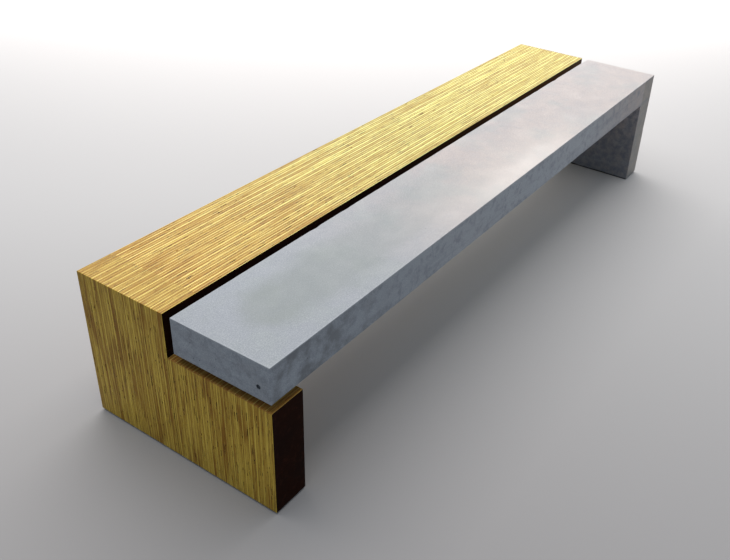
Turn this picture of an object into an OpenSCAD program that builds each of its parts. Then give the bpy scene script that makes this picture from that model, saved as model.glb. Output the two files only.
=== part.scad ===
// Garden bench made of two interlocking inverted L shapes, one of plywood and one of concrete.
// The plywood half stands at the -X end and the concrete half at the +X end.
// The long arm of each half reaches over a ledge in the other half's leg and bears on two spacers,
// so an open reveal of one width runs along the seat and turns under both arms.
// The origin is on the ground at the centre of the bench. -Y is the concrete side.

/* [Overall] */
// Length of the bench
bench_l = 2300; // [1800:10:2400]
// Height of the seat above the ground
seat_h = 430; // [400:5:480]
// Depth of the concrete slab and of the plywood beam
seat_t = 100; // [96:1:120]
// Thickness of both legs
leg_t = 102; // [96:1:120]
// Open gap between the two halves
reveal = 24; // [16:1:30]

/* [Plywood] */
// Thickness of one plywood sheet
sheet_t = 17.9; // [17.5:0.1:19]
// Sheets side by side in the seat beam
beam_sheets = 16; // [12:1:16]
// Sheets side by side in the low part of the plywood leg
ledge_sheets = 17; // [13:1:17]
// Thin sheet that makes up the width of the leg
packer_t = 9.3; // [6:0.1:12]

/* [Concrete] */
// Concrete outside the reinforcement
cover = 25; // [20:1:26]
// Diameter of the main bars
bar_d = 10; // [8:1:10]
// Diameter of the links around the main bars
link_d = 6; // [5:1:6]
// Distance between the slab's links
link_pitch = 200; // [150:10:300]
// Diameter of the round dimple in the slab's end
dimple_d = 12; // [8:1:16]
// Depth of the dimple
dimple_depth = 4; // [2:0.5:6]

/* [Fixings] */
// Diameter of the tie rods
rod_d = 10; // [8:1:12]
// Tie rods along the beam
beam_rods = 4; // [3:1:6]
// Diameter of the corner dowels
dowel_d = 10; // [8:1:10]
// Length of the corner dowels
dowel_l = 100; // [60:5:120]
// Diameter of the locating pins
pin_d = 12; // [10:1:14]
// Depth that each locating pin goes into either half
pin_depth = 40; // [30:1:40]
// Diameter of the bearing spacers
spacer_d = 50; // [40:1:56]

/* [Feet] */
// Thickness of the rubber pad under each leg
foot_t = 5; // [3:1:8]
// Distance from the leg's faces to the pad's edge
foot_inset = 4; // [2:1:10]

/* [Hidden] */
$fn = 48;

// Widths across the bench
beam_w = beam_sheets * sheet_t;
ledge_w = packer_t + ledge_sheets * sheet_t;
bench_w = beam_w + ledge_w;
slab_w = ledge_w - reveal;

// Planes of the bench
end_x = bench_l / 2;
side_y = bench_w / 2;
slab_z = seat_h - seat_t;
ledge_z = slab_z - reveal;
wood_leg_x = -end_x + leg_t;
concrete_leg_x = end_x - leg_t;
beam_y = -side_y + ledge_w;
slab_y = -side_y + slab_w;
mid_z = seat_h - seat_t / 2;

// Bores are cut past the faces by this much
over = 1;

// Tie rods, each as [x, z, lowest y, highest y]. They stop under the outermost sheets.
washer_d = 2.2 * rod_d;
washer_t = 2;
nut_across = 1.7 * rod_d;
nut_t = 0.8 * rod_d;
rod_tip = 1;
recess_d = 2.6 * rod_d;
recess_depth = washer_t + nut_t + 2 * rod_tip;
rod_bore_d = rod_d + 1;
wood_leg_mid_x = -end_x + leg_t / 2;
beam_l = end_x - wood_leg_x;
leg_rod_low_z = foot_t + 85;
leg_rod_high_z = foot_t + 200;
LEG_RODS = [
    [wood_leg_mid_x, mid_z, beam_y + sheet_t, side_y - sheet_t],
    [wood_leg_mid_x, leg_rod_high_z, -side_y + sheet_t, side_y - sheet_t],
    [wood_leg_mid_x, leg_rod_low_z, -side_y + sheet_t, side_y - sheet_t]
];
BEAM_RODS = [
    for (k = [1:beam_rods])
        [wood_leg_x + (k - 0.5) * beam_l / beam_rods, mid_z, beam_y + sheet_t, side_y - sheet_t]
];
TIE_RODS = concat(LEG_RODS, BEAM_RODS);

// Corner dowels sit a quarter of the beam's depth from its top and from its underside
DOWEL_ZS = [slab_z + seat_t / 4, seat_h - seat_t / 4];

// Locating pins, each as [x, y], at the quarter points of the arm that they carry
concrete_leg_mid_x = end_x - leg_t / 2;
NEAR_PINS = [for (q = [0.25, 0.75]) [wood_leg_mid_x, -side_y + q * slab_w]];
FAR_PINS = [for (q = [0.25, 0.75]) [concrete_leg_mid_x, side_y - q * beam_w]];

// Reinforcement. Main bars stay a little clear of the links that hold them.
link_gap = 1.5;
bar_in = cover + link_d + link_gap + bar_d / 2;
link_in = cover + link_d / 2;
link_bend = 10;
bar_bend = 45;
bar_side_step = bar_d + 3;
first_link_x = -end_x + 120;
slab_links = floor((concrete_leg_x - first_link_x) / link_pitch);
LEG_LINK_ZS = [foot_t + 55, foot_t + 145, foot_t + 235];
SLAB_BAR_YS = [-side_y + bar_in, -side_y + slab_w / 2, slab_y - bar_in];
LEDGE_BAR_YS = [slab_y + bar_in, (slab_y + side_y) / 2, side_y - bar_in];
LEG_BAR_XS = [concrete_leg_x + bar_in, end_x - bar_in];

// Dimple in the slab's end
dimple_y = -side_y + 34;
dimple_z = slab_z + 35;

// Names of the repeated nodes
function numbered(stem, k) = str(stem, k < 10 ? "_0" : "_", k);
function numbered_list(stem, count) = [for (k = [1:count]) numbered(stem, k)];

// Lowest y of full-height sheet k, counted from the back face
function tall_sheet_y(k) = side_y - k * sheet_t;

// Lowest y of low sheet k, counted from the front face
function low_sheet_y(k) = -side_y + (k - 1) * sheet_t;

// ---- Shapes shared by the pieces and by the holes that they sit in ----

// Box between two corners
module block(low, high) {
    translate(low) cube(high - low);
}

// Cylinder along Y between two values of y
module rod_y(x, z, y_lo, y_hi, d) {
    translate([x, y_hi, z]) rotate([90, 0, 0]) cylinder(h = y_hi - y_lo, d = d);
}

// Cylinder along X between two values of x
module rod_x(y, z, x_lo, x_hi, d) {
    translate([x_lo, y, z]) rotate([0, 90, 0]) cylinder(h = x_hi - x_lo, d = d);
}

// Cylinder along Z between two values of z
module rod_z(x, y, z_lo, z_hi, d) {
    translate([x, y, z_lo]) cylinder(h = z_hi - z_lo, d = d);
}

// Bore of a tie rod, with a recess at each end for the washer and nut
module tie_bore(rod) {
    rod_y(rod.x, rod.y, rod[2] - over, rod[3] + over, rod_bore_d);
    rod_y(rod.x, rod.y, rod[2] - over, rod[2] + recess_depth, recess_d);
    rod_y(rod.x, rod.y, rod[3] - recess_depth, rod[3] + over, recess_d);
}

// Both dowels of full-height sheet k, across the joint between the leg and the beam
module sheet_dowels(k) {
    for (z = DOWEL_ZS)
        rod_x(tall_sheet_y(k) + sheet_t / 2, z, wood_leg_x - dowel_l / 2, wood_leg_x + dowel_l / 2, dowel_d);
}

// Locating pin at [x, y]
module locating_pin(at) {
    rod_z(at.x, at.y, ledge_z - pin_depth, slab_z + pin_depth, pin_d);
}

// Plywood board with the tie rods and pins that pass through it taken out
module board(x_lo, x_hi, y_lo, t, z_lo, z_hi, pins) {
    y_hi = y_lo + t;
    difference() {
        block([x_lo, y_lo, z_lo], [x_hi, y_hi, z_hi]);
        for (rod = TIE_RODS)
            if (rod.x > x_lo && rod.x < x_hi && rod.y < z_hi && rod[2] < y_hi - over && rod[3] > y_lo + over)
                tie_bore(rod);
        for (pin = pins)
            if (pin.y + pin_d / 2 > y_lo && pin.y - pin_d / 2 < y_hi)
                locating_pin(pin);
    }
}

// ---- Plywood half ----

// Board k of the seat beam, counted from the back
module beam_board(k) {
    color("burlywood") difference() {
        board(wood_leg_x, end_x, tall_sheet_y(k), sheet_t, slab_z, seat_h, FAR_PINS);
        sheet_dowels(k);
    }
}

// Full-height board k of the leg, counted from the back
module leg_board(k) {
    color("tan") difference() {
        board(-end_x, wood_leg_x, tall_sheet_y(k), sheet_t, foot_t, seat_h, []);
        sheet_dowels(k);
    }
}

// Thin board between the full-height boards and the low ones
module leg_packer() {
    color("peru") board(-end_x, wood_leg_x, beam_y - packer_t, packer_t, foot_t, ledge_z, NEAR_PINS);
}

// Low board k of the leg, counted from the front
module ledge_board(k) {
    color("darkkhaki")
        board(-end_x, wood_leg_x, low_sheet_y(k), sheet_t, foot_t, ledge_z, NEAR_PINS);
}

// ---- Concrete half ----

// Quarter turn of a round bar about the origin, from +X towards +Y
module bar_turn(bend, d) {
    rotate_extrude(angle = 90) translate([bend, 0]) circle(d = d);
}

// Closed link in the XY plane, round bar with bent corners, measured between bar centres
module closed_link(size_x, size_y) {
    straight_x = size_x / 2 - link_bend;
    straight_y = size_y / 2 - link_bend;
    for (side = [-1, 1]) {
        rod_x(side * size_y / 2, 0, -straight_x, straight_x, link_d);
        rod_y(side * size_x / 2, 0, -straight_y, straight_y, link_d);
    }
    translate([straight_x, straight_y, 0]) bar_turn(link_bend, link_d);
    translate([-straight_x, straight_y, 0]) rotate([0, 0, 90]) bar_turn(link_bend, link_d);
    translate([-straight_x, -straight_y, 0]) rotate([0, 0, 180]) bar_turn(link_bend, link_d);
    translate([straight_x, -straight_y, 0]) rotate([0, 0, 270]) bar_turn(link_bend, link_d);
}

// Top bar of the slab, bent down along the leg's outer face
module bent_bar(y) {
    top_z = seat_h - bar_in;
    down_x = end_x - bar_in;
    rod_x(y, top_z, -end_x + cover, down_x - bar_bend, bar_d);
    translate([down_x - bar_bend, y, top_z - bar_bend]) rotate([90, 0, 0]) bar_turn(bar_bend, bar_d);
    rod_z(down_x, y, foot_t + cover, top_z - bar_bend, bar_d);
}

// Main bars, straight and bent
module main_bar_shapes() {
    for (y = SLAB_BAR_YS) {
        bent_bar(y);
        rod_x(y, slab_z + bar_in, -end_x + cover, end_x - bar_in - bar_side_step, bar_d);
        rod_z(concrete_leg_x + bar_in, y + bar_side_step, foot_t + cover, mid_z, bar_d);
    }
    for (x = LEG_BAR_XS)
        for (y = LEDGE_BAR_YS)
            rod_z(x, y, foot_t + cover, ledge_z - cover, bar_d);
}

// Links around the slab's bars and around the leg's bars
module link_bar_shapes() {
    for (k = [0:slab_links])
        translate([first_link_x + k * link_pitch, -side_y + slab_w / 2, mid_z]) rotate([0, 90, 0])
            closed_link(seat_t - 2 * link_in, slab_w - 2 * link_in);
    for (z = LEG_LINK_ZS)
        translate([concrete_leg_mid_x, 0, z])
            closed_link(leg_t - 2 * link_in, bench_w - 2 * link_in);
}

module concrete_body() {
    color("lightslategray") difference() {
        union() {
            block([-end_x, -side_y, slab_z], [end_x, slab_y, seat_h]);
            block([concrete_leg_x, -side_y, foot_t], [end_x, slab_y, slab_z]);
            block([concrete_leg_x, slab_y, foot_t], [end_x, side_y, ledge_z]);
        }
        main_bar_shapes();
        link_bar_shapes();
        for (pin = concat(NEAR_PINS, FAR_PINS))
            locating_pin(pin);
        rod_x(dimple_y, dimple_z, -end_x - over, -end_x + dimple_depth, dimple_d);
    }
}

module main_bars() {
    color("sienna") main_bar_shapes();
}

module link_bars() {
    color("chocolate") link_bar_shapes();
}

// ---- Fixings, bearings and feet ----

module tie_rods() {
    color("silver")
        for (rod = TIE_RODS)
            rod_y(rod.x, rod.y, rod[2] + rod_tip, rod[3] - rod_tip, rod_d);
}

module tie_washers() {
    color("gainsboro")
        for (rod = TIE_RODS)
            for (seat_y = [rod[2] + recess_depth - washer_t, rod[3] - recess_depth])
                difference() {
                    rod_y(rod.x, rod.y, seat_y, seat_y + washer_t, washer_d);
                    rod_y(rod.x, rod.y, seat_y - over, seat_y + washer_t + over, rod_d);
                }
}

module tie_nuts() {
    color("lightgray")
        for (rod = TIE_RODS)
            for (seat_y = [rod[2] + 2 * rod_tip, rod[3] - 2 * rod_tip - nut_t])
                difference() {
                    translate([rod.x, seat_y + nut_t, rod.y]) rotate([90, 0, 0])
                        cylinder(h = nut_t, d = nut_across / cos(30), $fn = 6);
                    rod_y(rod.x, rod.y, seat_y - over, seat_y + nut_t + over, rod_d);
                }
}

module corner_dowels() {
    color("wheat")
        for (k = [1:beam_sheets])
            sheet_dowels(k);
}

module bearing_spacers() {
    color("dimgray")
        for (pin = concat(NEAR_PINS, FAR_PINS))
            difference() {
                rod_z(pin.x, pin.y, ledge_z, slab_z, spacer_d);
                rod_z(pin.x, pin.y, ledge_z - over, slab_z + over, pin_d);
            }
}

module locating_pins() {
    color("silver")
        for (pin = concat(NEAR_PINS, FAR_PINS))
            locating_pin(pin);
}

module foot_pads() {
    color("black")
        for (x = [-end_x, concrete_leg_x])
            block(
                [x + foot_inset, -side_y + foot_inset, 0],
                [x + leg_t - foot_inset, side_y - foot_inset, foot_t]
            );
}

for (k = [1:beam_sheets]) {
    beam_board(k);
    leg_board(k);
}
leg_packer();
for (k = [1:ledge_sheets])
    ledge_board(k);
concrete_body();
main_bars();
link_bars();
tie_rods();
tie_washers();
tie_nuts();
corner_dowels();
bearing_spacers();
locating_pins();
foot_pads();
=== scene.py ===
import math
import random
from bisect import bisect_right
from itertools import product
from types import SimpleNamespace

import bmesh
import bpy
from mathutils import Matrix, Vector, noise


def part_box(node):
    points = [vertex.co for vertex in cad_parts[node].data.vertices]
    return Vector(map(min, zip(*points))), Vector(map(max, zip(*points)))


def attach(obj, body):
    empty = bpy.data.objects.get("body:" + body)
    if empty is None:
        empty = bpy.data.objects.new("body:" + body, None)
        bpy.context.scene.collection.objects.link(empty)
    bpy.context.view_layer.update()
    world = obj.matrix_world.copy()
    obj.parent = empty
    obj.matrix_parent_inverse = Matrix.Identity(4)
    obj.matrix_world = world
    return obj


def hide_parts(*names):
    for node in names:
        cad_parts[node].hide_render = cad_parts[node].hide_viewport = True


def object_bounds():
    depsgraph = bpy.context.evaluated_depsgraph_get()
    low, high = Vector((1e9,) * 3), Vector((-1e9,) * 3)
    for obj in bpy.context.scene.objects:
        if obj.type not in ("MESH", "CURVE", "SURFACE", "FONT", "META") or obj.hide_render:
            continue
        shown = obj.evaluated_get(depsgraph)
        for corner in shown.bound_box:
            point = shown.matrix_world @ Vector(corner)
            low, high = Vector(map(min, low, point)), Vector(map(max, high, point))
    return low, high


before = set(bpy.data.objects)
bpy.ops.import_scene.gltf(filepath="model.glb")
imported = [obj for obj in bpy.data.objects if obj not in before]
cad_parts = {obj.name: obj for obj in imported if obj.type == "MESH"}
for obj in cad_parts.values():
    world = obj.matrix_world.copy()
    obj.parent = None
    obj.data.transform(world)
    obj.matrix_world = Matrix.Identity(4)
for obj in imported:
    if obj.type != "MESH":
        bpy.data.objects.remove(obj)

# A garden bench of two halves: boards of plywood on edge, and a concrete casting. Each board and the
# casting are rebuilt on the planes of their CAD nodes. Fixings and foot pads keep their CAD shapes.

# ---------------------------------------------------------------- sizes, in metres

MM = 0.001
TINY = 0.01 * MM
CAD_LOW, CAD_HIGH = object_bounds()

# Planes of the bench, all taken from the CAD boxes
BEAM_LOW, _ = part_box("beam_board_16")
_, LEG_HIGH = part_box("leg_board_16")
STONE_LOW, STONE_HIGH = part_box("concrete_body")
SPACER_LOW, SPACER_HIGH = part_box("bearing_spacers")
SEAT_TOP = STONE_HIGH.z
SEAT_UNDER = BEAM_LOW.z
LEDGE_TOP = SPACER_LOW.z
FOOT_TOP = STONE_LOW.z
FRONT_Y = STONE_LOW.y
BACK_Y = STONE_HIGH.y
NEAR_X = STONE_LOW.x
FAR_X = STONE_HIGH.x
WOOD_LEG_X = LEG_HIGH.x
BEAM_Y = BEAM_LOW.y
REVEAL = SPACER_HIGH.z - SPACER_LOW.z
SLAB_Y = BEAM_Y - REVEAL
STONE_LEG_X = FAR_X - (WOOD_LEG_X - NEAR_X)

PLIES = 13
PACKER_PLIES = 7
BOARDS = [name for name in sorted(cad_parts) if "_board_" in name or name == "leg_packer"]

# ---------------------------------------------------------------- node helpers


def plug(tree, value, socket):
    """Links a socket, or sets a constant, on an input socket."""
    if isinstance(value, bpy.types.NodeSocket):
        tree.links.new(value, socket)
    else:
        socket.default_value = value


def node(tree, kind, values=(), **settings):
    """A new node. values is a list of (input name or number, value or socket)."""
    made = tree.nodes.new(kind)
    for key, value in settings.items():
        setattr(made, key, value)
    for key, value in values:
        plug(tree, value, made.inputs[key])
    return made


def calc(tree, operation, a, b=0.0, c=0.0):
    """One step of arithmetic."""
    return node(tree, "ShaderNodeMath", [(0, a), (1, b), (2, c)], operation=operation).outputs[0]


def times(tree, first, *others):
    """The product of two or more values."""
    for other in others:
        first = calc(tree, "MULTIPLY", first, other)
    return first


def minus(tree, a, b):
    """Value a less value b."""
    return calc(tree, "SUBTRACT", a, b)


def smaller(tree, a, b):
    """The smaller of two values."""
    return calc(tree, "MINIMUM", a, b)


def larger(tree, a, b):
    """The larger of two values."""
    return calc(tree, "MAXIMUM", a, b)


def apart(tree, a, b):
    """The distance between two values."""
    return calc(tree, "ABSOLUTE", minus(tree, a, b))


def scaled(tree, value, factor, start):
    """value times factor, plus start."""
    return calc(tree, "MULTIPLY_ADD", value, factor, start)


def remap(tree, value, low, high, to_low=0.0, to_high=1.0):
    """value moved smoothly from low..high to to_low..to_high, and held there."""
    values = [
        ("Value", value),
        ("From Min", low),
        ("From Max", high),
        ("To Min", to_low),
        ("To Max", to_high),
    ]
    return node(tree, "ShaderNodeMapRange", values, interpolation_type="SMOOTHSTEP").outputs[0]


def blend_colour(tree, amount, a, b, mode="MIX"):
    """Colour a turned into colour b by amount."""
    made = node(tree, "ShaderNodeMix", data_type="RGBA", blend_type=mode, clamp_factor=True)
    plug(tree, amount, made.inputs["Factor"])
    plug(tree, a, made.inputs[6])
    plug(tree, b, made.inputs[7])
    return made.outputs[2]


def vector(tree, x, y, z):
    """A vector of three values."""
    return node(tree, "ShaderNodeCombineXYZ", [("X", x), ("Y", y), ("Z", z)]).outputs[0]


def flat_length(tree, x, y):
    """The length of a vector that lies flat."""
    values = [(0, vector(tree, x, y, 0.0))]
    return node(tree, "ShaderNodeVectorMath", values, operation="LENGTH").outputs["Value"]


def stretched(tree, place, scale):
    """Coordinates multiplied by a scale for each axis."""
    values = [(0, place), (1, scale)]
    return node(tree, "ShaderNodeVectorMath", values, operation="MULTIPLY").outputs[0]


def cloud(tree, place, scale, detail=2.0, roughness=0.5):
    """A grey noise of that many features to a metre, about 0.5 on average."""
    values = [("Vector", place), ("Scale", scale), ("Detail", detail), ("Roughness", roughness)]
    return node(tree, "ShaderNodeTexNoise", values).outputs["Fac"]


def streaks(tree, place, scale, detail=2.0, roughness=0.5):
    """A grey noise with a number of features to a metre for each axis."""
    return cloud(tree, stretched(tree, place, scale), 1.0, detail, roughness)


def own_tone(tree, number):
    """A value from 0 to 1 that is random but always the same for a number."""
    return node(tree, "ShaderNodeTexWhiteNoise", [("W", number)], noise_dimensions="1D").outputs["Value"]


def attribute(tree, name):
    """A value that the mesh holds for each of its points."""
    return node(tree, "ShaderNodeAttribute", attribute_name=name).outputs["Fac"]


def srgb(red, green, blue):
    """A linear colour from the 0 to 255 numbers of a colour on a screen."""
    line = [((c / 255 + 0.055) / 1.055) ** 2.4 if c > 10 else c / 255 / 12.92 for c in (red, green, blue)]
    return (*line, 1.0)


def new_material(name):
    """An empty node material."""
    material = bpy.data.materials.new(name)
    material.use_nodes = True
    material.node_tree.nodes.clear()
    return material, material.node_tree


def object_place(tree):
    """Position on the object, in metres, in the bench's own frame."""
    return node(tree, "ShaderNodeTexCoord").outputs["Object"]


def axes_of(tree, place):
    """The three coordinates of a position."""
    return node(tree, "ShaderNodeSeparateXYZ", [(0, place)]).outputs[:3]


def finish_surface(tree, colour, roughness, bumps, **fixed):
    """Principled shader. bumps is a list of (height socket, distance in metres, strength)."""
    shader = node(tree, "ShaderNodeBsdfPrincipled", [("Base Color", colour), ("Roughness", roughness)])
    for key, value in fixed.items():
        shader.inputs[key.replace("_", " ")].default_value = value
    normal = None
    for height, distance, strength in bumps:
        values = [("Height", height), ("Distance", distance), ("Strength", strength)]
        made = node(tree, "ShaderNodeBump", values)
        if normal is not None:
            tree.links.new(normal, made.inputs["Normal"])
        normal = made.outputs["Normal"]
    if normal is not None:
        tree.links.new(normal, shader.inputs["Normal"])
    out = node(tree, "ShaderNodeOutputMaterial")
    tree.links.new(shader.outputs[0], out.inputs["Surface"])


# ---------------------------------------------------------------- plywood and its film

STREAK_SCALE = 7.0
# Painted sheen: the wood's tint at the far end, and how far along the bench it is reached
FAR_SHEEN_TINT = srgb(250, 255, 236)
FAR_SHEEN_X = 0.1
# Colour of the painted shade on the ledge under the slab
UNDER_SLAB_SHADE_COLOUR = srgb(112, 62, 30)


def ply_site(tree):
    """What the parts of the plywood material share: place, sheet, ply and noises.

    The mesh says how far a point is across its sheet and which sheet it is in.
    """
    place = object_place(tree)
    x, y, z = axes_of(tree, place)
    across = attribute(tree, "across")
    sheet = attribute(tree, "sheet")
    ply_at = times(tree, across, float(PLIES))
    ply = calc(tree, "FLOOR", ply_at)
    in_ply = calc(tree, "FRACT", ply_at)

    # Streaks along a ply differ from ply to ply
    lane = scaled(tree, sheet, 23.7, times(tree, ply, 3.3))
    lane_place = vector(tree, times(tree, x, STREAK_SCALE), lane, times(tree, z, STREAK_SCALE))
    return SimpleNamespace(
        x=x,
        y=y,
        z=z,
        across=across,
        sheet=sheet,
        ply=ply,
        crosswise=calc(tree, "PINGPONG", ply, 1.0),
        to_glue=smaller(tree, in_ply, minus(tree, 1.0, in_ply)),
        streak=remap(tree, cloud(tree, lane_place, 1.0, 3.0, 0.6), 0.3, 0.7),
        short_streak=cloud(tree, lane_place, 3.1, 3.0, 0.7),
        fading=cloud(tree, lane_place, 0.6, 2.0),
        wide_streak=streaks(tree, place, (2.6, 52.0, 2.6), 4.0, 0.65),
        thin_streak=streaks(tree, place, (9.0, 250.0, 9.0), 3.0, 0.7),
        patch=streaks(tree, place, (6.0, 16.0, 6.0), 3.0, 0.6),
        fibre=streaks(tree, place, (90.0, 2600.0, 90.0), 2.0, 0.6),
        pores=streaks(tree, place, (420.0, 1500.0, 420.0), 1.0),
    )


def ply_tones(tree, at, palette, line_contrast):
    """Plies along the face are pale, plies across it darker, and each ply and sheet has its own tone."""
    cream, straw, amber, _ = palette
    along_colour = blend_colour(tree, at.streak, straw, cream)
    across_colour = blend_colour(tree, at.streak, amber, straw)
    colour = blend_colour(tree, times(tree, at.crosswise, line_contrast), along_colour, across_colour)

    ply_key = vector(tree, at.ply, at.sheet, 0.37)
    ply_tone = node(tree, "ShaderNodeTexWhiteNoise", [("Vector", ply_key)], noise_dimensions="3D")
    dull = remap(tree, ply_tone.outputs["Value"], 0.3, 1.0, 0.0, 0.9 * line_contrast)
    colour = blend_colour(tree, dull, colour, amber)
    warm = remap(tree, own_tone(tree, at.sheet), 0.2, 1.0, 0.0, 0.4 * line_contrast)
    return blend_colour(tree, warm, colour, amber)


def halfway_shade(tree, at, line_contrast, evenness):
    """How dark a ply is for lying halfway between face and core, more in some half sheets."""
    off_line = calc(tree, "PINGPONG", times(tree, at.across, 2.0), 0.5)
    shade = remap(tree, off_line, 0.12, 0.42, 0.0, evenness * line_contrast)
    half_sheet = calc(tree, "FLOOR", times(tree, calc(tree, "ADD", at.sheet, at.across), 2.0))
    broken = remap(tree, at.streak, 0.1, 0.8, 1.0, 0.3)
    return times(tree, shade, broken, remap(tree, own_tone(tree, half_sheet), 0.0, 1.0, 0.4, 1.2))


def pale_lines(tree, at, line_contrast, evenness):
    """How pale a ply is: two face veneers meet between sheets, and the core veneer is pale too."""
    from_side = smaller(tree, at.across, minus(tree, 1.0, at.across))
    face_line = remap(tree, from_side, 0.9 / PLIES, 1.3 / PLIES, 1.0, 0.0)
    core_line = remap(tree, apart(tree, at.across, 0.5), 0.5 / PLIES, 0.9 / PLIES, evenness, 0.0)
    fades = remap(tree, at.fading, 0.36, 0.56, 0.15, 0.95 * line_contrast)
    return times(tree, larger(tree, face_line, core_line), fades)


def wood_sheen_shade_and_edges(tree, at, colour, sheen_start_tint, umber):
    """Painted sheen that pales the wood towards the far end, painted shade on the ledge under the slab,
    and darker wood at the foot and along the far arris.
    """
    # Painted sheen: the wood turns paler from the near tint to the far tint along the bench
    sheen_tint = blend_colour(tree, remap(tree, at.x, NEAR_X, FAR_SHEEN_X), sheen_start_tint, FAR_SHEEN_TINT)
    colour = blend_colour(tree, 1.0, colour, sheen_tint, "MULTIPLY")
    # Painted shade: the ledge's wood under the slab is drawn darker and redder
    under_slab_shade = times(
        tree,
        remap(tree, at.z, LEDGE_TOP - 2 * MM, SEAT_UNDER, 1.0, 0.0),
        remap(tree, at.z, LEDGE_TOP - 2 * MM, LEDGE_TOP - 0.5 * MM),
        calc(tree, "LESS_THAN", at.y, BEAM_Y - TINY),
        0.6,
    )
    colour = blend_colour(tree, under_slab_shade, colour, UNDER_SLAB_SHADE_COLOUR)
    foot = remap(tree, at.z, FOOT_TOP, FOOT_TOP + 160 * MM, 0.13, 0.0)
    colour = blend_colour(tree, foot, colour, umber)
    far_edge = remap(tree, at.x, FAR_X - 5 * MM, FAR_X - 1 * MM, 0.0, 0.6)
    return blend_colour(tree, far_edge, colour, umber)


def plywood(name, palette, sheen_start_tint, line_contrast, evenness):
    """Edge of a stack of plies, with its lines drawn along x and z.

    The near tint is the wood's tint at the near end, where the painted sheen that pales the wood towards
    the far end starts.
    evenness is how alike the sheets are: the rest is streaks and patches.
    """
    cream, _, amber, umber = palette
    material, tree = new_material(name)
    at = ply_site(tree)
    colour = ply_tones(tree, at, palette, line_contrast)
    # Painted sheen: dark streaks, fibres and end pores fade towards the far end
    sheen_fade = remap(tree, at.x, NEAR_X + 0.6, FAR_X, 1.0, 0.5)
    stains = [
        halfway_shade(tree, at, line_contrast, evenness),
        remap(tree, at.wide_streak, 0.5, 0.64, 0.0, 1.05 - 0.6 * evenness),
        remap(tree, at.patch, 0.5, 0.7, 0.0, 0.9 - 0.5 * evenness),
        remap(tree, at.thin_streak, 0.48, 0.62, 0.0, 0.8 * line_contrast),
    ]
    for stain in stains:
        colour = blend_colour(tree, stain, colour, amber)
    long_dark = remap(tree, at.short_streak, 0.55, 0.68, 0.0, 0.85 * line_contrast)
    thin_dark = remap(tree, at.thin_streak, 0.58, 0.7, 0.0, 0.8 * line_contrast)
    for dark in (long_dark, thin_dark):
        colour = blend_colour(tree, times(tree, dark, sheen_fade), colour, umber)
    colour = blend_colour(tree, pale_lines(tree, at, line_contrast, evenness), colour, cream)

    # Glue lines, dark fibres and the pores of end grain
    glue = remap(tree, at.to_glue, 0.03, 0.16, 0.42, 0.0)
    glue = times(tree, glue, remap(tree, at.streak, 0.0, 1.0, 1.0, 0.35))
    dark_fibre = times(tree, remap(tree, at.fibre, 0.56, 0.75, 0.0, 0.45), sheen_fade)
    end_pores = times(tree, remap(tree, at.pores, 0.6, 0.72, 0.0, 0.5), at.crosswise, sheen_fade)
    for dark in (glue, dark_fibre, end_pores):
        colour = blend_colour(tree, dark, colour, umber)
    colour = wood_sheen_shade_and_edges(tree, at, colour, sheen_start_tint, umber)

    roughness = remap(tree, at.fibre, 0.3, 0.7, 0.44, 0.6)
    relief = scaled(tree, at.crosswise, -0.5, at.fibre)
    bumps = [(relief, 0.12 * MM, 0.6), (glue, -0.15 * MM, 0.5)]
    finish_surface(tree, colour, roughness, bumps, Specular_IOR_Level=0.18)
    return material


def film():
    """Dark phenolic film on the outermost sheets, scuffed, with painted light that makes it browner
    towards the far end, most in the reveal.
    """
    material, tree = new_material("phenolic_film")
    place = object_place(tree)
    x, y, _ = axes_of(tree, place)
    mesh_mark = cloud(tree, place, 900.0, 1.0)
    patch = cloud(tree, place, 9.0, 4.0, 0.6)
    grain = streaks(tree, place, (14.0, 300.0, 260.0), 3.0)
    speck = cloud(tree, place, 85.0, 4.0, 0.7)
    colour = blend_colour(tree, remap(tree, patch, 0.35, 0.65), srgb(24, 8, 4), srgb(34, 14, 7))
    colour = blend_colour(tree, remap(tree, speck, 0.5, 0.72, 0.0, 0.8), colour, srgb(50, 24, 14))
    colour = blend_colour(tree, remap(tree, grain, 0.5, 0.75, 0.0, 0.5), colour, srgb(14, 6, 4))
    # Painted light: the film is drawn browner towards the far end, most on the face in the reveal by the
    # slab
    in_reveal = remap(tree, y, BEAM_Y, BEAM_Y + 10 * MM, 0.8, 0.2)
    far_painted_light = times(tree, remap(tree, x, NEAR_X + 0.7, FAR_X), in_reveal)
    colour = blend_colour(tree, far_painted_light, colour, srgb(92, 62, 40))
    scuff = remap(tree, streaks(tree, place, (60.0, 60.0, 9.0), 4.0, 0.7), 0.66, 0.8, 0.0, 0.25)
    colour = blend_colour(tree, scuff, colour, srgb(48, 28, 18))
    bumps = [(mesh_mark, 0.05 * MM, 0.5), (grain, 0.08 * MM, 0.5)]
    finish_surface(tree, colour, remap(tree, patch, 0.3, 0.7, 0.42, 0.58), bumps, Specular_IOR_Level=0.02)
    return material


def shaded_gap_wood():
    """Inside of a core gap in the plywood: wood drawn dark as painted shade in the gap, with a rough
    floor.
    """
    material, tree = new_material("core_gap")
    fleck = cloud(tree, object_place(tree), 900.0, 3.0)
    colour = blend_colour(tree, fleck, srgb(20, 11, 5), srgb(52, 32, 15))
    finish_surface(tree, colour, remap(tree, fleck, 0.3, 0.7, 0.8, 0.95), [(fleck, 0.3 * MM, 0.8)])
    return material


# ---------------------------------------------------------------- concrete

SEAT_PATCH_X = NEAR_X + 0.59
SEAT_PATCH_HALF_LENGTH = 0.5
SEAT_PATCH_HALF_WIDTH = 0.075
# A smoother strip by the front arris, drawn paler as a painted reflection, with painted sheen around it
GLARE_STRIP_X = NEAR_X + 1.17
GLARE_STRIP_HALF_LENGTH = 0.12
GLARE_STRIP_SLIMNESS = 0.35
GLARE_STRIP_Y = FRONT_Y + 12 * MM


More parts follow.
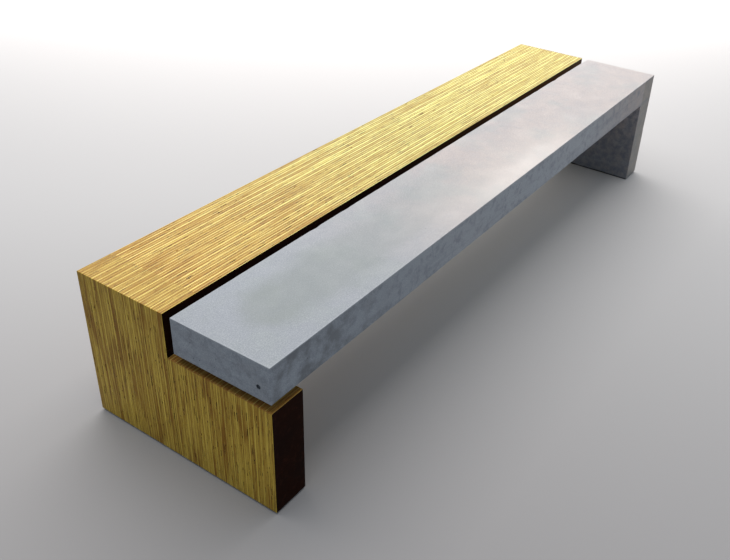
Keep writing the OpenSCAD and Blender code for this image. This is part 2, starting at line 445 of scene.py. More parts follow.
def stone_site(tree):
    """What the parts of the concrete material share: place, which way the face looks, noises."""
    place = object_place(tree)
    x, y, z = axes_of(tree, place)
    on_top = remap(tree, z, SEAT_TOP - 4 * MM, SEAT_TOP - 1 * MM)
    return SimpleNamespace(
        x=x,
        y=y,
        z=z,
        on_top=on_top,
        upright=minus(tree, 1.0, on_top),
        slow=cloud(tree, place, 3.2, 4.0, 0.55),
        cast=cloud(tree, place, 6.5, 4.0, 0.6),
        mottle=cloud(tree, place, 17.0, 5.0, 0.6),
        blotch=cloud(tree, place, 42.0, 4.0, 0.65),
        grit=cloud(tree, place, 330.0, 3.0, 0.75),
        sand=cloud(tree, place, 620.0, 3.0, 0.7),
        level=streaks(tree, place, (2.2, 2.2, 55.0), 4.0, 0.6),
        wobble=times(tree, minus(tree, cloud(tree, place, 8.0, 2.0), 0.5), 0.09),
    )


def stone_tones(tree, at):
    """The drift from cool and darker at the near end to warm and paler at the far end, partly the slab's
    own tone and partly painted light, with painted light on the sides, clouds, spots, sand and grit.
    """
    # Partly the slab's own tone, partly painted light: cool and darker at the near end, warm and paler at
    # the far end
    drift = remap(tree, at.x, NEAR_X + 0.2, FAR_X - 1.1)
    colour = blend_colour(tree, drift, srgb(146, 148, 154), srgb(175, 157, 149))
    # Painted light: the upright faces are drawn paler and cooler, less at the near end and not at the far
    # end
    cool_side_light = times(
        tree,
        remap(tree, at.x, NEAR_X + 0.1, NEAR_X + 1.2, 0.4, 0.75),
        at.upright,
        remap(tree, at.x, FAR_X - 0.8, FAR_X - 0.1, 1.0, 0.0),
    )
    pale_spots = times(tree, remap(tree, at.mottle, 0.42, 0.7), scaled(tree, at.upright, 0.25, 0.25))
    dark_spots = times(tree, remap(tree, at.blotch, 0.45, 0.7), scaled(tree, at.upright, 0.5, 0.15))
    coats = [
        (remap(tree, at.slow, 0.38, 0.62, 0.0, 0.3), srgb(138, 139, 144)),
        (times(tree, remap(tree, at.cast, 0.46, 0.62, 0.0, 0.32), at.on_top), srgb(146, 152, 146)),
        (cool_side_light, srgb(166, 177, 188)),
        (pale_spots, srgb(172, 173, 178)),
        (dark_spots, srgb(112, 116, 126)),
        (remap(tree, at.sand, 0.3, 0.7, 0.45, 0.0), srgb(104, 106, 112)),
        (remap(tree, at.grit, 0.35, 0.6, 0.36, 0.0), srgb(108, 110, 116)),
        (remap(tree, at.grit, 0.5, 0.7, 0.0, 0.26), srgb(190, 190, 192)),
    ]
    for amount, coat in coats:
        colour = blend_colour(tree, amount, colour, coat)
    return colour


def seat_patch(tree, at):
    """How dark the patch with round ends is, on the near half of the seat."""
    off_x = minus(tree, apart(tree, at.x, SEAT_PATCH_X), SEAT_PATCH_HALF_LENGTH - SEAT_PATCH_HALF_WIDTH)
    off_y = minus(tree, at.y, (FRONT_Y + SLAB_Y) / 2)
    far = calc(tree, "ADD", flat_length(tree, larger(tree, off_x, 0.0), off_y), at.wobble)
    outside = remap(tree, far, SEAT_PATCH_HALF_WIDTH - 25 * MM, SEAT_PATCH_HALF_WIDTH + 40 * MM)
    fading = remap(tree, at.x, NEAR_X + 0.2, NEAR_X + 1.05, 0.5, 0.1)
    return times(tree, minus(tree, 1.0, outside), fading, at.on_top)


def polish_and_glare_strip(tree, at):
    """How pale the smoother strip by the front arris is, a painted reflection, and the wider painted sheen
    around it.
    """
    along = larger(tree, minus(tree, apart(tree, at.x, GLARE_STRIP_X), GLARE_STRIP_HALF_LENGTH), 0.0)
    far = flat_length(tree, times(tree, along, GLARE_STRIP_SLIMNESS), minus(tree, at.y, GLARE_STRIP_Y))
    polish_and_glare = remap(tree, scaled(tree, at.wobble, 0.5, far), 0.0, 0.08, 0.24, 0.0)
    polish_and_glare = times(tree, polish_and_glare, remap(tree, at.blotch, 0.3, 0.6, 0.75, 1.0), at.on_top)
    painted_sheen_glow = times(tree, remap(tree, far, 0.0, 0.22, 0.3, 0.0), at.on_top)
    return polish_and_glare, painted_sheen_glow


def upright_marks(tree, at, colour):
    """Painted shade low on the leg; bluish blotches on its inner face, partly painted shade; dust; darker
    mottle by the wood at the near end, partly painted shade; level marks from the casting.
    """
    # Painted shade: the leg is drawn darker towards its foot, most on its inner face under the bench
    low_painted_shade = times(
        tree,
        remap(tree, at.z, FOOT_TOP + 100 * MM, SEAT_UNDER + 20 * MM, 0.6, 0.0),
        remap(tree, at.x, STONE_LEG_X + 2 * MM, STONE_LEG_X + 9 * MM, 1.0, 0.4),
    )
    # Darker bluish blotches on the leg's inner face under the bench: partly mottle, partly painted shade
    inner_side_blotch_and_shade = times(
        tree,
        remap(tree, at.x, STONE_LEG_X - 2 * MM, STONE_LEG_X),
        remap(tree, at.blotch, 0.32, 0.66, 0.1, 0.55),
        remap(tree, at.x, STONE_LEG_X + 1 * MM, STONE_LEG_X + 3 * MM, 1.0, 0.0),
        remap(tree, at.z, SEAT_UNDER - 2 * MM, SEAT_UNDER, 1.0, 0.0),
        remap(tree, at.y, FRONT_Y + 1 * MM, FRONT_Y + 4 * MM),
    )
    leg_dust = times(
        tree,
        remap(tree, at.x, STONE_LEG_X + 1 * MM, STONE_LEG_X + 6 * MM, 0.0, 0.36),
        at.upright,
    )
    # Darker mottle on the upright faces near the near end, weaker on the end face: partly mottle, partly
    # painted shade
    near_end_mottle_and_shade = times(
        tree,
        remap(tree, at.x, NEAR_X + 0.14, NEAR_X + 0.5, 0.75, 0.0),
        remap(tree, at.x, NEAR_X + 1 * MM, NEAR_X + 12 * MM, 0.25, 1.0),
        at.upright,
        remap(tree, at.mottle, 0.38, 0.62),
    )
    level_marks = times(tree, remap(tree, at.level, 0.5, 0.7, 0.0, 0.35), at.upright)
    coats = [
        (low_painted_shade, srgb(84, 85, 88)),
        (inner_side_blotch_and_shade, srgb(64, 74, 90)),
        (leg_dust, srgb(104, 102, 82)),
        (near_end_mottle_and_shade, srgb(90, 92, 96)),
        (level_marks, srgb(108, 112, 120)),
    ]
    for amount, coat in coats:
        colour = blend_colour(tree, amount, colour, coat)
    return colour


def arris_wear_and_highlight(tree, at):
    """How pale the concrete is along its top arrises: partly wear, partly a painted highlight."""
    to_front = minus(tree, at.y, FRONT_Y)
    to_inner = apart(tree, SLAB_Y, at.y)
    to_near = minus(tree, at.x, NEAR_X)
    to_far = minus(tree, FAR_X, at.x)
    to_side = smaller(tree, smaller(tree, to_front, to_inner), smaller(tree, to_near, to_far))
    to_arris = larger(tree, minus(tree, SEAT_TOP, at.z), to_side)
    return remap(tree, scaled(tree, at.mottle, 3 * MM, to_arris), 1 * MM, 7 * MM, 0.18, 0.0)


def concrete():
    """Fine cast concrete: paler along its top arrises, partly wear and partly a painted highlight, with a
    dark patch and a smoother strip with a painted reflection and sheen.
    """
    material, tree = new_material("cast_concrete")
    at = stone_site(tree)
    colour = stone_tones(tree, at)
    colour = blend_colour(tree, seat_patch(tree, at), colour, srgb(112, 117, 111))
    polish_and_glare, painted_sheen_glow = polish_and_glare_strip(tree, at)
    # Painted sheen around the strip, and a painted reflection on it
    colour = blend_colour(tree, painted_sheen_glow, colour, srgb(206, 194, 185))
    colour = blend_colour(tree, polish_and_glare, colour, srgb(216, 206, 199))
    colour = upright_marks(tree, at, colour)
    # Paler top arrises: partly wear, partly a painted highlight
    colour = blend_colour(tree, arris_wear_and_highlight(tree, at), colour, srgb(206, 208, 210))
    roughness = scaled(tree, polish_and_glare, -0.12, remap(tree, at.mottle, 0.3, 0.7, 0.46, 0.6))
    bumps = [(at.sand, 0.14 * MM, 0.6), (at.mottle, 0.4 * MM, 0.15)]
    finish_surface(tree, colour, roughness, bumps, Specular_IOR_Level=0.45)
    return material


def pinhole():
    """Inside of a pinhole or dimple in the concrete: the same grey, drawn darker as painted shade."""
    material, tree = new_material("pinhole")
    fleck = cloud(tree, object_place(tree), 1400.0, 3.0)
    colour = blend_colour(tree, fleck, srgb(58, 61, 66), srgb(96, 99, 104))
    finish_surface(tree, colour, remap(tree, fleck, 0.3, 0.7, 0.7, 0.9), [(fleck, 0.2 * MM, 0.7)])
    return material


# ---------------------------------------------------------------- other materials


def steel(name, bright, dull, rough, grain_scale):
    """Machined or drawn steel, with marks along one direction and a dull bloom."""
    material, tree = new_material(name)
    place = object_place(tree)
    grain = streaks(tree, place, grain_scale, 3.0, 0.6)
    bloom = cloud(tree, place, 60.0, 4.0, 0.6)
    colour = blend_colour(tree, remap(tree, bloom, 0.35, 0.7), bright, dull)
    roughness = remap(tree, grain, 0.3, 0.7, rough - 0.08, rough + 0.12)
    finish_surface(tree, colour, roughness, [(grain, 0.05 * MM, 0.5)], Metallic=0.9)
    return material


def rebar_steel():
    """Reinforcing bar with mill scale and light rust."""
    material, tree = new_material("rebar_steel")
    place = object_place(tree)
    rust = remap(tree, cloud(tree, place, 45.0, 5.0, 0.7), 0.4, 0.65)
    pits = cloud(tree, place, 700.0, 3.0, 0.7)
    colour = blend_colour(tree, rust, srgb(78, 74, 72), srgb(134, 74, 42))
    colour = blend_colour(tree, remap(tree, pits, 0.5, 0.8, 0.0, 0.5), colour, srgb(54, 34, 26))
    roughness = remap(tree, rust, 0.0, 1.0, 0.5, 0.85)
    finish_surface(tree, colour, roughness, [(pits, 0.2 * MM, 0.6)], Metallic=0.4)
    return material


def beech():
    """Beech dowel, with short flecks along its length."""
    material, tree = new_material("beech_dowel")
    place = object_place(tree)
    grain = streaks(tree, place, (40.0, 900.0, 900.0), 3.0, 0.6)
    fleck = streaks(tree, place, (160.0, 1500.0, 1500.0), 1.0)
    colour = blend_colour(tree, grain, srgb(214, 170, 120), srgb(188, 138, 92))
    colour = blend_colour(tree, remap(tree, fleck, 0.6, 0.72, 0.0, 0.6), colour, srgb(140, 92, 56))
    finish_surface(tree, colour, remap(tree, grain, 0.3, 0.7, 0.5, 0.65), [(grain, 0.1 * MM, 0.5)])
    return material


def rubber():
    """Black foot rubber, dusty and fine grained."""
    material, tree = new_material("foot_rubber")
    place = object_place(tree)
    dust = remap(tree, cloud(tree, place, 30.0, 5.0, 0.65), 0.45, 0.75, 0.0, 0.5)
    pebble = cloud(tree, place, 900.0, 2.0)
    colour = blend_colour(tree, dust, srgb(30, 30, 32), srgb(74, 70, 66))
    finish_surface(tree, colour, remap(tree, pebble, 0.3, 0.7, 0.7, 0.88), [(pebble, 0.15 * MM, 0.6)])
    return material


# Painted light falloff: the floor gets paler along this direction, between these two distances from the
# bench's middle
FLOOR_DIRECTION = (0.83, 0.55)
FLOOR_SHADED_AT = -1.7
FLOOR_LIT_AT = 0.5


def studio_floor():
    """Pale painted floor, with painted shade: a little darker on the side where the camera is."""
    material, tree = new_material("studio_floor")
    place = object_place(tree)
    drift = cloud(tree, place, 0.4, 2.0)
    x, y, _ = axes_of(tree, place)
    toward_lit = scaled(tree, y, FLOOR_DIRECTION[1], times(tree, x, FLOOR_DIRECTION[0]))
    shaded_tone = blend_colour(tree, drift, srgb(150, 145, 144), srgb(154, 149, 148))
    lit_tone = blend_colour(tree, drift, srgb(172, 168, 167), srgb(178, 174, 173))
    colour = blend_colour(tree, remap(tree, toward_lit, FLOOR_SHADED_AT, FLOOR_LIT_AT), shaded_tone, lit_tone)
    roughness = remap(tree, drift, 0.3, 0.7, 0.8, 0.9)
    finish_surface(tree, colour, roughness, [], Specular_IOR_Level=0.2)
    return material


# Palettes: pale veneer, middle tone, end grain, glue and dark fibre
SEAT_PALETTE = [srgb(255, 255, 178), srgb(212, 192, 94), srgb(160, 117, 32), srgb(66, 36, 9)]
# The leg's palette is the same plywood drawn darker: painted shade on the leg's end and inner faces
LEG_SHADED_PALETTE = [srgb(234, 210, 118), srgb(202, 172, 74), srgb(142, 100, 26), srgb(50, 30, 8)]
CUT_PALETTE = [srgb(240, 237, 156), srgb(202, 185, 98), srgb(158, 123, 45), srgb(74, 42, 14)]
# Tints at the near end, where the painted sheen that pales the wood towards the far end starts
SEAT_SHEEN_START_TINT = srgb(255, 231, 198)
LEG_SHEEN_START_TINT = srgb(252, 242, 194)
BOARD_MATERIALS = [
    plywood("plywood_seat", SEAT_PALETTE, SEAT_SHEEN_START_TINT, line_contrast=1.0, evenness=0.6),
    plywood("plywood_leg_shaded", LEG_SHADED_PALETTE, LEG_SHEEN_START_TINT, line_contrast=0.62, evenness=0.1),
    plywood("plywood_end_cut", CUT_PALETTE, SEAT_SHEEN_START_TINT, line_contrast=0.95, evenness=0.4),
    film(),
    shaded_gap_wood(),
]
SEAT, LEG, END_CUT, FILM_FACE, GAP = range(len(BOARD_MATERIALS))

# ---------------------------------------------------------------- mesh helpers

SHARP = math.radians(40)
CHART_SPACE = 0.003
CHART_FILL = 0.99
CHART_SHRINK = 0.98
THINNEST_CHART = 0.1 * MM


def cell_mesh(planes, holds):
    """The outer faces of those cells of a grid that hold material."""
    counts = [len(line) - 1 for line in planes]
    bm = bmesh.new()
    corners = {}

    def corner(at):
        if at not in corners:
            corners[at] = bm.verts.new([line[i] for line, i in zip(planes, at)])
        return corners[at]

    inside = {cell for cell in product(*map(range, counts)) if holds(cell)}
    for cell in sorted(inside):
        for axis, side in product(range(3), (0, 1)):
            beside = list(cell)
            beside[axis] += 2 * side - 1
            if tuple(beside) in inside:
                continue
            ring = [(0, 0), (1, 0), (1, 1), (0, 1)]
            if side == 0:
                ring.reverse()
            around = []
            for first, second in ring:
                at = list(cell)
                at[axis] += side
                at[(axis + 1) % 3] += first
                at[(axis + 2) % 3] += second
                around.append(corner(tuple(at)))
            bm.faces.new(around)
    bm.normal_update()
    return bm


def main_axis(normal):
    """The axis that a direction is nearest to, and its sign as 0 or 1."""
    axis = max(range(3), key=lambda i: abs(normal[i]))
    return axis, int(normal[axis] > 0)


def nearest(values, value):
    """The number of the value that is nearest."""
    return min(range(len(values)), key=lambda i: abs(values[i] - value))


def divided(low, high, step):
    """Even divisions between two planes, the first included and the last not."""
    count = max(1, round((high - low) / step))
    return [low + (high - low) * k / count for k in range(count)]


def pack_rows(sizes, scale):
    """Lower left corners of the charts, laid in rows at a scale, or nothing if they don't fit."""
    spots = {}
    left = low = CHART_SPACE
    row = 0.0
    for key, (width, height) in sorted(sizes.items(), key=lambda item: -item[1][1]):
        if left + width * scale + CHART_SPACE > 1:
            left, low, row = CHART_SPACE, low + row + CHART_SPACE, 0.0
        if left + width * scale + CHART_SPACE > 1 or low + height * scale + CHART_SPACE > 1:
            return None, 0.0
        spots[key] = (left, low)
        left += width * scale + CHART_SPACE
        row = max(row, height * scale)
    return spots, low + row + CHART_SPACE


def lay_out_bake_map(bm, key_of, share_of):
    """Adds a UV map without overlaps, made of flat charts packed in rows.

    key_of(face) names the face's chart, which starts with the axis that it is seen along.
    share_of(key) says how large the chart is drawn for its size.
    """
    charts = {}
    for face in bm.faces:
        charts.setdefault(key_of(face), []).append(face)
    sizes = {}
    frames = {}
    for key, faces in charts.items():
        points = [vert.co for face in faces for vert in face.verts]
        others = [i for i in range(3) if i != key[0]]
        lows = [min(point[i] for point in points) for i in others]
        spans = [max(point[i] for point in points) - low for i, low in zip(others, lows)]
        order = sorted(range(2), key=lambda i: -spans[i])
        share = share_of(key)
        frames[key] = [(others[i], lows[i], share) for i in order]
        sizes[key] = [max(spans[i] * share, THINNEST_CHART) for i in order]
    scale = CHART_FILL / max(width for width, _ in sizes.values())
    spots, top = pack_rows(sizes, scale)
    while spots is None:
        scale *= CHART_SHRINK
        spots, top = pack_rows(sizes, scale)
    layer = bm.loops.layers.uv.new("OFBake")
    for key, faces in charts.items():
        (u_axis, u_low, share), (v_axis, v_low, _) = frames[key]
        left, low = spots[key]
        for face in faces:
            for loop in face.loops:
                u = left + (loop.vert.co[u_axis] - u_low) * share * scale
                v = low + (loop.vert.co[v_axis] - v_low) * share * scale
                loop[layer].uv = (u, v / top)


def new_piece(bm, name, materials, slot, *nodes):
    """Makes an object of the mesh that stands for CAD nodes."""
    mesh = bpy.data.meshes.new(name)
    bm.to_mesh(mesh)
    bm.free()
    for material in materials:
        mesh.materials.append(material)
    piece = bpy.data.objects.new(name, mesh)
    bpy.context.scene.collection.objects.link(piece)
    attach(piece, "root")
    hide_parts(*nodes)
    return piece


# ---------------------------------------------------------------- boards

BOARD_SEED = 100
ARRIS = 0.9 * MM
SQUARE_ON = 0.999
GAP_DEPTH = 1.6 * MM
GAP_MARGIN = 20 * MM
GAP_LENGTHS = [5 * MM, 7 * MM, 9 * MM, 12 * MM, 16 * MM, 24 * MM]
SEAT_GAP_COUNTS = {1: 20, 0: 5}
LEG_GAP_COUNTS = {0: 6, 1: 2}
SEAT_CHART = 320 * MM
LEG_CHART = 220 * MM
FILM_SHARE = 0.45
HIDDEN_SHARE = 0.06
WALL_SHARE = 0.4


def exposed_sides(name):
    """The faces of a board that touch no other board, each as (axis, side)."""
    sides = {(2, 1), (2, 0), (0, 1)}
    if not name.startswith("beam"):
        sides.add((0, 0))
    if name in ("beam_board_01", "leg_board_01"):
        sides.add((1, 1))
    if name in ("beam_board_16", "leg_board_16", "ledge_board_01"):
        sides.add((1, 0))
    return sides


def core_gaps(chance, low, high, count):
    """Open gaps in the core plies, each as (first, last along the board, ply)."""
    gaps = []
    for _ in range(count):
        length = chance.choice(GAP_LENGTHS) * chance.uniform(0.8, 1.2)
        start = chance.uniform(low + GAP_MARGIN, high - GAP_MARGIN - length)
        gaps.append((start, start + length, chance.randrange(1, PLIES - 1)))
    return gaps


def is_arris(name, low, middle):
    """Whether an edge of the board there is free. The rest is flush with the next board."""
    if name.startswith("leg") and middle.x > WOOD_LEG_X - TINY and middle.z > SEAT_UNDER:
        return False
    return not (name == "leg_board_16" and middle.y < low.y + TINY and middle.z < LEDGE_TOP)


def board_grid(name, low, high, gaps, cuts, plies):
    """The planes of a board's cells: its plies across, and along it each chart's and each gap's ends."""
    long_axis = 0 if name.startswith("beam") else 2
    short_axis = 2 - long_axis
    marks = {*cuts, high[long_axis]} | {end for found in gaps.values() for gap in found for end in gap[:2]}
    if name.startswith("leg_board"):
        marks |= {SEAT_UNDER, LEDGE_TOP}
    planes = [None, [low.y + (high.y - low.y) * k / plies for k in range(plies + 1)], None]
    planes[long_axis] = sorted(marks)
    first, last = low[short_axis], high[short_axis]
    planes[short_axis] = [first, first + GAP_DEPTH, last - GAP_DEPTH, last]
    return planes


def paint_board(bm, name, low, high, wood, long_axis):
    """Gives each face its material, and returns the outer faces with their (axis, side)."""
    open_sides = exposed_sides(name)
    outer = {}
    for face in bm.faces:
        axis, side = main_axis(face.normal)
        if abs(face.verts[0].co[axis] - (low, high)[side][axis]) > TINY:
            face.material_index = GAP
            continue
        outer[face] = (axis, side)
        face.material_index = wood
        if axis == 1 and (axis, side) in open_sides:
            face.material_index = FILM_FACE
        if axis == long_axis:
            face.material_index = END_CUT
    return outer


def ease_board(bm, name, low, wood, outer):
    """Rounds the free arrises, and lets the film run over the ones beside it."""
    open_sides = exposed_sides(name)
    arrises = []
    for edge in bm.edges:
        sides = {outer.get(face) for face in edge.link_faces}
        middle = (edge.verts[0].co + edge.verts[1].co) / 2
        if len(sides) == 2 and sides <= open_sides and is_arris(name, low, middle):
            arrises.append(edge)
    bmesh.ops.bevel(
        bm, geom=arrises, offset=ARRIS, segments=2, profile=0.5, affect="EDGES", material=wood
    )
    sloping = []
    for face in bm.faces:
        beside = {other.material_index for edge in face.edges for other in edge.link_faces}
        if FILM_FACE in beside and abs(face.normal.y) < SQUARE_ON and face.material_index == wood:
            sloping.append(face)
    for face in sloping:
        face.material_index = FILM_FACE


def make_board(name, number):
    """One plywood board, with its plies, open core gaps, eased arrises and bake map."""
    chance = random.Random(BOARD_SEED + number)
    low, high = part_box(name)
    in_seat = name.startswith("beam")
    long_axis = 0 if in_seat else 2
    short_axis = 2 - long_axis
    wood = SEAT if in_seat else LEG
    plies = PLIES if "board" in name else PACKER_PLIES

    # Core gaps in the two long edges, but none in the packer
    counts = SEAT_GAP_COUNTS if in_seat else LEG_GAP_COUNTS
    gaps = {side: core_gaps(chance, low[long_axis], high[long_axis], n) for side, n in counts.items()}
    if plies < PLIES:
        gaps = {0: [], 1: []}
    cuts = divided(low[long_axis], high[long_axis], SEAT_CHART if in_seat else LEG_CHART)
    planes = board_grid(name, low, high, gaps, cuts, plies)

    def holds(cell):
        layer = cell[short_axis]
        if layer == 1:
            return True
        start = planes[long_axis][cell[long_axis]]
        return not any(first <= start < last and ply == cell[1] for first, last, ply in gaps[layer // 2])

    bm = cell_mesh(planes, holds)
    outer = paint_board(bm, name, low, high, wood, long_axis)
    ease_board(bm, name, low, wood, outer)

    def key_of(face):
        axis, side = main_axis(face.normal)
        if face.material_index == GAP and axis != short_axis:
            return axis, "wall", face.index
        place = face.calc_center_median()[long_axis]
        part = bisect_right(cuts, place) if axis != long_axis else 0
        return axis, side, part

    def share_of(key):
        if key[1] == "wall":
            return WALL_SHARE
        if key[:2] not in exposed_sides(name):
            return HIDDEN_SHARE
        return FILM_SHARE if key[0] == 1 else 1.0

    bm.faces.index_update()
    lay_out_bake_map(bm, key_of, share_of)
    piece_name = name.replace("board", "sheet").replace("leg_packer", "packer_sheet")
    piece = new_piece(bm, piece_name, BOARD_MATERIALS, "plywood", name)

    # What the plywood material reads: how far across its sheet a point is, and which sheet
    thick = (high.y - low.y) * PLIES / plies
    across = piece.data.attributes.new("across", "FLOAT", "POINT")
    across.data.foreach_set("value", [(vert.co.y - low.y) / thick for vert in piece.data.vertices])
    sheet = piece.data.attributes.new("sheet", "FLOAT", "POINT")
    sheet.data.foreach_set("value", [float(number)] * len(piece.data.vertices))


for number, name in enumerate(BOARDS):
    make_board(name, number)

# ---------------------------------------------------------------- the concrete half

STONE_SEED = 11
STONE_ARRIS = 1.5 * MM
STONE_FLAT = 0.995
STONE_STEP = 22 * MM
STONE_CHART = 600 * MM
WEAR = 0.22 * MM
WEAR_SCALE = 95.0
CHIP_DEPTH = 5 * MM
CHIP_SCALE = 31.0
CHIP_LIMIT = 0.42
CHIP_SEED = Vector((3.1, 7.7, 1.3))
PINHOLES = 90
PINHOLE_RADII = [1.2, 1.4, 1.8, 2.4]
PINHOLE_MARGIN = 12 * MM
BOWL_RISE = 0.75
TOP_BOWL = 0.6
HOLE_WALL = 6 * MM
DIMPLE_R = 6 * MM
DIMPLE_DEPTH = 4 * MM
DIMPLE_AT = Vector((NEAR_X, FRONT_Y + 34 * MM, SEAT_UNDER + 35 * MM))


def wear_arrises(bm):
    """Takes a little off the eased arrises, more in a few chipped places."""
    for vert in bm.verts:
        slopes = [face for face in vert.link_faces if max(abs(n) for n in face.normal) < STONE_FLAT]
        if not slopes:
            continue
        fine = noise.noise(vert.co * WEAR_SCALE)
        chip = max(0.0, noise.noise(vert.co * CHIP_SCALE + CHIP_SEED) - CHIP_LIMIT)
        vert.co -= vert.normal * (WEAR * (1 + fine) + CHIP_DEPTH * chip)


def add_bowl(cutter, at, axis, side, radius):
    """Adds a sphere that cuts a shallow bowl in a flat face."""
    centre = Vector(at)
    centre[axis] += (BOWL_RISE if side else -BOWL_RISE) * radius
    made = bmesh.ops.create_icosphere(cutter, subdivisions=2, radius=radius)
    for vert in made["verts"]:
        vert.co += centre


def make_cutter():
    """Pinholes on the cast faces, and the round dimple in the end."""
    chance = random.Random(STONE_SEED)
    cutter = bmesh.new()
    edge = PINHOLE_MARGIN
    for _ in range(PINHOLES):
        radius = chance.choice(PINHOLE_RADII) * MM
        x = chance.uniform(NEAR_X + edge, FAR_X - edge)
        y = chance.uniform(FRONT_Y + edge, SLAB_Y - edge)
        z = chance.uniform(SEAT_UNDER + edge, SEAT_TOP - edge)
        face = chance.choice(["top", "front", "front", "inner", "near", "far"])
        if face == "top":
            add_bowl(cutter, (x, y, SEAT_TOP), 2, 1, radius * TOP_BOWL)
        elif face == "front":
            add_bowl(cutter, (x, FRONT_Y, z), 1, 0, radius)
        elif face == "inner":
            add_bowl(cutter, (x, SLAB_Y, z), 1, 1, radius)
        elif face == "near":
            add_bowl(cutter, (NEAR_X, y, z), 0, 0, radius)
        else:
            low_z = chance.uniform(FOOT_TOP + edge, SEAT_TOP - edge)
            add_bowl(cutter, (FAR_X, y, low_z), 0, 1, radius)
    bmesh.ops.create_cone(
        cutter,
        segments=32,
        radius1=DIMPLE_R,
        radius2=DIMPLE_R,
        depth=2 * DIMPLE_DEPTH,
        cap_ends=True,
        matrix=Matrix.Translation(DIMPLE_AT) @ Matrix.Rotation(math.radians(90), 4, "Y"),
    )
    return cutter


def cut_holes(piece):
    """The mesh of the concrete with the pinholes and the dimple cut into it."""
    tool = make_cutter()
    cutter = bpy.data.objects.new("cutter", bpy.data.meshes.new("cutter"))
    tool.to_mesh(cutter.data)
    tool.free()
    for material in piece.data.materials:
        cutter.data.materials.append(material)
    cutter.data.polygons.foreach_set("material_index", [1] * len(cutter.data.polygons))
    bpy.context.scene.collection.objects.link(cutter)
    cut = piece.modifiers.new("cut", "BOOLEAN")
    cut.object = cutter
    cut.operation = "DIFFERENCE"
    cut.solver = "EXACT"
    seen = bpy.context.evaluated_depsgraph_get()
    result = bpy.data.meshes.new_from_object(piece.evaluated_get(seen))
    piece.modifiers.clear()
    bpy.data.objects.remove(cutter)
    return result


def make_concrete():
    """The concrete half: slab, leg and ledge in one casting, with worn arrises and pinholes."""
    xs = [*divided(NEAR_X, STONE_LEG_X, STONE_STEP), *divided(STONE_LEG_X, FAR_X, STONE_STEP), FAR_X]
    ys = [*divided(FRONT_Y, SLAB_Y, STONE_STEP), *divided(SLAB_Y, BACK_Y, STONE_STEP), BACK_Y]
    low_zs = [*divided(FOOT_TOP, LEDGE_TOP, STONE_STEP), LEDGE_TOP]
    zs = [*low_zs, *divided(SEAT_UNDER, SEAT_TOP, STONE_STEP), SEAT_TOP]

    def holds(cell):
        x, y, z = ((line[i] + line[i + 1]) / 2 for line, i in zip((xs, ys, zs), cell))
        in_slab = y < SLAB_Y and z > SEAT_UNDER
        in_leg = y < SLAB_Y and x > STONE_LEG_X
        in_ledge = x > STONE_LEG_X and z < LEDGE_TOP
        return in_slab or in_leg or in_ledge

    bm = cell_mesh((xs, ys, zs), holds)
    arrises = [edge for edge in bm.edges if edge.calc_face_angle_signed(0.0) > SHARP]
    bmesh.ops.bevel(bm, geom=arrises, offset=STONE_ARRIS, segments=3, profile=0.5, affect="EDGES")
    bm.normal_update()
    wear_arrises(bm)
    piece = new_piece(bm, "concrete_half", [concrete(), pinhole()], "concrete", "concrete_body")

    bm = bmesh.new()
    bm.from_mesh(cut_holes(piece))
    bm.normal_update()
    flat_zs = (FOOT_TOP, LEDGE_TOP, SEAT_UNDER, SEAT_TOP)
    flats = [(NEAR_X, STONE_LEG_X, FAR_X), (FRONT_Y, SLAB_Y, BACK_Y), flat_zs]
    cuts = divided(NEAR_X, FAR_X, STONE_CHART)

    def key_of(face):
        axis, side = main_axis(face.normal)
        centre = face.calc_center_median()
        flat = nearest(flats[axis], centre[axis])
        if abs(flats[axis][flat] - centre[axis]) > HOLE_WALL:
            return axis, "wall", face.index
        return axis, side, flat, bisect_right(cuts, centre.x) if axis else 0

    bm.faces.index_update()
    lay_out_bake_map(bm, key_of, lambda key: 1.0)
    bm.to_mesh(piece.data)
    bm.free()


make_concrete()

# ---------------------------------------------------------------- fixings and feet


def dress(node_name, material, bevel=0.0):
    """Gives a CAD node its material, and an eased edge."""
    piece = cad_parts[node_name]
    for place in piece.material_slots:
        place.material = material
    if bevel:
        eased = piece.modifiers.new("eased_edge", "BEVEL")
        eased.width = bevel
        eased.segments = 2
        eased.limit_method = "ANGLE"
        eased.angle_limit = SHARP


# Steels: bright and dull colour, roughness, and grain lines to a metre for each axis
ZINC = steel("zinc_steel", srgb(176, 178, 180), srgb(128, 130, 130), 0.4, (300.0, 300.0, 300.0))
PIN_STEEL = steel("pin_steel", srgb(158, 158, 160), srgb(116, 114, 112), 0.35, (900.0, 900.0, 40.0))
SPACER_STEEL = steel("spacer_steel", srgb(120, 116, 110), srgb(78, 72, 66), 0.45, (60.0, 60.0, 2200.0))
REBAR = rebar_steel()
dress("tie_rods", ZINC)
dress("tie_washers", ZINC, bevel=0.3 * MM)
dress("tie_nuts", ZINC, bevel=0.5 * MM)
dress("locating_pins", PIN_STEEL)
dress("bearing_spacers", SPACER_STEEL, bevel=0.8 * MM)
dress("main_bars", REBAR)
dress("link_bars", REBAR)
dress("corner_dowels", beech(), bevel=0.6 * MM)
dress("foot_pads", rubber(), bevel=0.8 * MM)

# ---------------------------------------------------------------- floor, light and camera

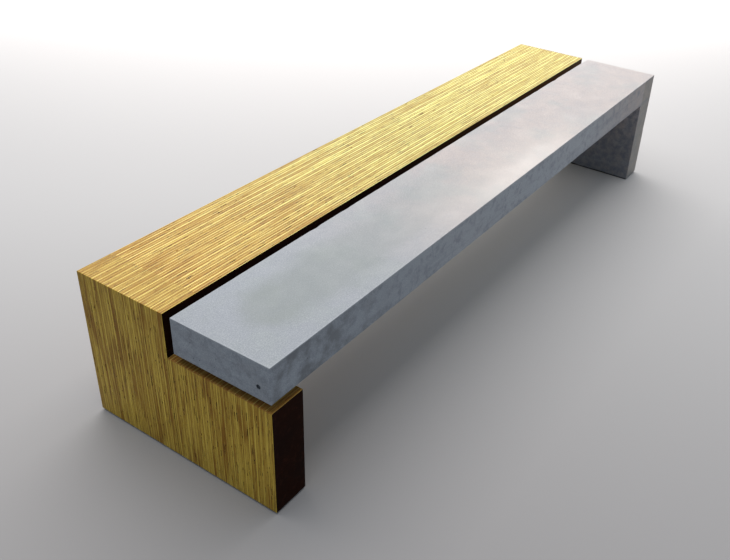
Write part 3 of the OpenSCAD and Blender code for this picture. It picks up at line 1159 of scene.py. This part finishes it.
FLOOR_HALF = 15.0
FLOOR_DROP = 0.2 * MM
SKY_COLOUR = (0.74, 0.88, 1.0, 1.0)
SKY_STRENGTH = 0.53
CAMERA_AT = (-2.1224, -1.2233, 1.5255)
CAMERA_TURN = (58.477, -2.613, -56.362)
CAMERA_LENS = 41.18
CAMERA_SHIFT = (-0.0581, -0.0359)


def make_floor():
    """A pale floor under the bench, with painted shade on the camera's side."""
    bm = bmesh.new()
    bmesh.ops.create_grid(bm, x_segments=24, y_segments=24, size=FLOOR_HALF)
    mesh = bpy.data.meshes.new("floor")
    bm.to_mesh(mesh)
    bm.free()
    mesh.materials.append(studio_floor())
    floor = bpy.data.objects.new("floor", mesh)
    floor.location.z = CAD_LOW.z - FLOOR_DROP
    bpy.context.scene.collection.objects.link(floor)


def ceiling_light(name, at, size, turn, power, colour):
    """A rectangular soft light that faces the floor, turned about the vertical by degrees."""
    data = bpy.data.lights.new(name, "AREA")
    data.shape = "RECTANGLE"
    data.size, data.size_y = size
    data.energy = power
    data.color = colour
    lamp = bpy.data.objects.new(name, data)
    lamp.location = at
    lamp.rotation_euler.z = math.radians(turn)
    bpy.context.scene.collection.objects.link(lamp)


def light_sky():
    """Even, slightly blue light from all around."""
    world = bpy.data.worlds.new("studio")
    world.use_nodes = True
    background = world.node_tree.nodes["Background"]
    background.inputs["Color"].default_value = SKY_COLOUR
    background.inputs["Strength"].default_value = SKY_STRENGTH
    bpy.context.scene.world = world


def place_camera():
    """The camera at the photo's viewing angle."""
    data = bpy.data.cameras.new("camera")
    data.lens = CAMERA_LENS
    data.shift_x, data.shift_y = CAMERA_SHIFT
    data.clip_end = 60.0
    camera = bpy.data.objects.new("camera", data)
    camera.location = CAMERA_AT
    camera.rotation_euler = [math.radians(turn) for turn in CAMERA_TURN]
    bpy.context.scene.collection.objects.link(camera)
    bpy.context.scene.camera = camera


make_floor()
ceiling_light(
    "overhead", at=(0.55, 1.05, 4.2), size=(5.6, 4.6), turn=0.0, power=216.0, colour=(1.0, 0.985, 0.955)
)
ceiling_light(
    "far_wash", at=(3.6, 3.3, 2.6), size=(3.2, 8.5), turn=36.0, power=520.0, colour=(1.0, 0.985, 0.96)
)
light_sky()
place_camera()
bpy.context.scene.view_settings.view_transform = "Standard"
